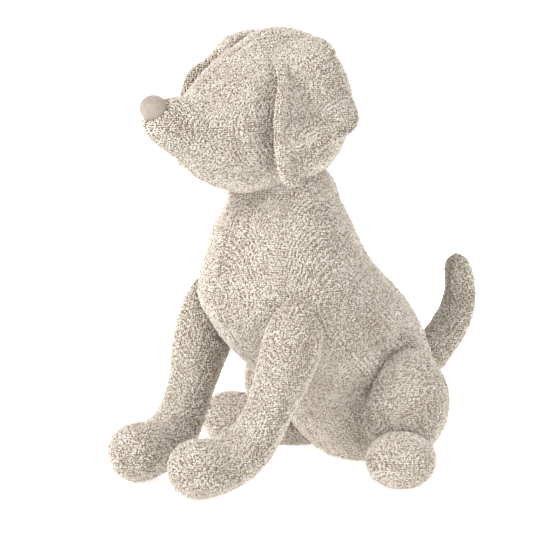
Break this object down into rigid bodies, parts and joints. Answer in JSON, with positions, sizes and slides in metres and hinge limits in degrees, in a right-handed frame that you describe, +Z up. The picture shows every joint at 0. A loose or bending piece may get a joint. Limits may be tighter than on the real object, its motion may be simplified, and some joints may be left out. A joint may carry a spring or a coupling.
{
  "type": "plush dog",
  "caption": "Stuffed sitting dog in cream looped-yarn cloth, with hanging ears, straight front legs, splayed hind feet and an upright tail.",
  "frame": {"origin": "on the floor, under the middle of the bounding box", "axes": "+Z up; the dog looks along -Y; +X is its left side"},
  "size_m": [0.2932, 0.3874, 0.3958],
  "materials": {
    "looped_cloth": "matte",
    "nose_suede": "matte",
    "fibre_filling": "matte",
    "bag_cloth": "matte",
    "pellets": "matte"
  },
  "bodies": {
    "torso": {"torso_panel_left": "looped_cloth", "torso_panel_right": "looped_cloth", "seat_panel": "looped_cloth", "torso_filling": "fibre_filling", "pellet_bag": "bag_cloth", "pellets": "pellets"},
    "neck": {"neck_filling": "fibre_filling"},
    "head": {"head_panel_left": "looped_cloth", "head_panel_right": "looped_cloth", "head_filling": "fibre_filling", "nose_cover": "nose_suede", "nose_filling": "fibre_filling"},
    "tail": {"tail_panel_left": "looped_cloth", "tail_panel_right": "looped_cloth", "tail_filling": "fibre_filling"},
    "left_ear": {"left_ear_lining": "looped_cloth", "left_ear_outer": "looped_cloth"},
    "left_front_leg": {"left_front_leg_outer_panel": "looped_cloth", "left_front_leg_inner_panel": "looped_cloth", "left_front_leg_filling": "fibre_filling"},
    "left_hind_leg": {"left_thigh_cover": "looped_cloth", "left_thigh_filling": "fibre_filling", "left_hind_foot_upper": "looped_cloth", "left_hind_foot_sole": "looped_cloth", "left_hind_foot_filling": "fibre_filling"},
    "right_ear": {"right_ear_lining": "looped_cloth", "right_ear_outer": "looped_cloth"},
    "right_front_leg": {"right_front_leg_outer_panel": "looped_cloth", "right_front_leg_inner_panel": "looped_cloth", "right_front_leg_filling": "fibre_filling"},
    "right_hind_leg": {"right_thigh_cover": "looped_cloth", "right_thigh_filling": "fibre_filling", "right_hind_foot_upper": "looped_cloth", "right_hind_foot_sole": "looped_cloth", "right_hind_foot_filling": "fibre_filling"}
  },
  "joints": [
    {"name": "head_nod", "type": "hinge", "parent": "torso", "child": "neck", "pos_m": [0, -0.03665, 0.252], "axis": [1, 0, 0], "range_deg": [-6, 3], "stiffness_Nm_per_rad": 6},
    {"name": "head_turn", "type": "hinge", "parent": "neck", "child": "head", "pos_m": [0, -0.03665, 0.252], "axis": [0, 0, 1], "range_deg": [-18, 18], "stiffness_Nm_per_rad": 3},
    {"name": "tail_wag", "type": "hinge", "parent": "torso", "child": "tail", "pos_m": [0, 0.12735, 0.075], "axis": [0, -0.5201, 0.8541], "range_deg": [-22, 22], "stiffness_Nm_per_rad": 0.6},
    {"name": "left_ear_flap", "type": "hinge", "parent": "head", "child": "left_ear", "pos_m": [0.0395, -0.04865, 0.3865], "axis": [0, -0.9877, -0.1564], "range_deg": [0, 60]},
    {"name": "left_shoulder", "type": "hinge", "parent": "torso", "child": "left_front_leg", "pos_m": [0.053, -0.06065, 0.175], "axis": [1, 0, 0], "range_deg": [-20, 4], "stiffness_Nm_per_rad": 4},
    {"name": "left_hip", "type": "hinge", "parent": "torso", "child": "left_hind_leg", "pos_m": [0.08, 0.03735, 0.064], "axis": [1, 0, 0], "range_deg": [-14, 2], "stiffness_Nm_per_rad": 4},
    {"name": "right_ear_flap", "type": "hinge", "parent": "head", "child": "right_ear", "pos_m": [-0.0395, -0.04865, 0.3865], "axis": [0, 0.9877, 0.1564], "range_deg": [0, 60]},
    {"name": "right_shoulder", "type": "hinge", "parent": "torso", "child": "right_front_leg", "pos_m": [-0.053, -0.06065, 0.175], "axis": [1, 0, 0], "range_deg": [-20, 4], "stiffness_Nm_per_rad": 4},
    {"name": "right_hip", "type": "hinge", "parent": "torso", "child": "right_hind_leg", "pos_m": [-0.08, 0.03735, 0.064], "axis": [1, 0, 0], "range_deg": [-14, 2], "stiffness_Nm_per_rad": 4}
  ]
}
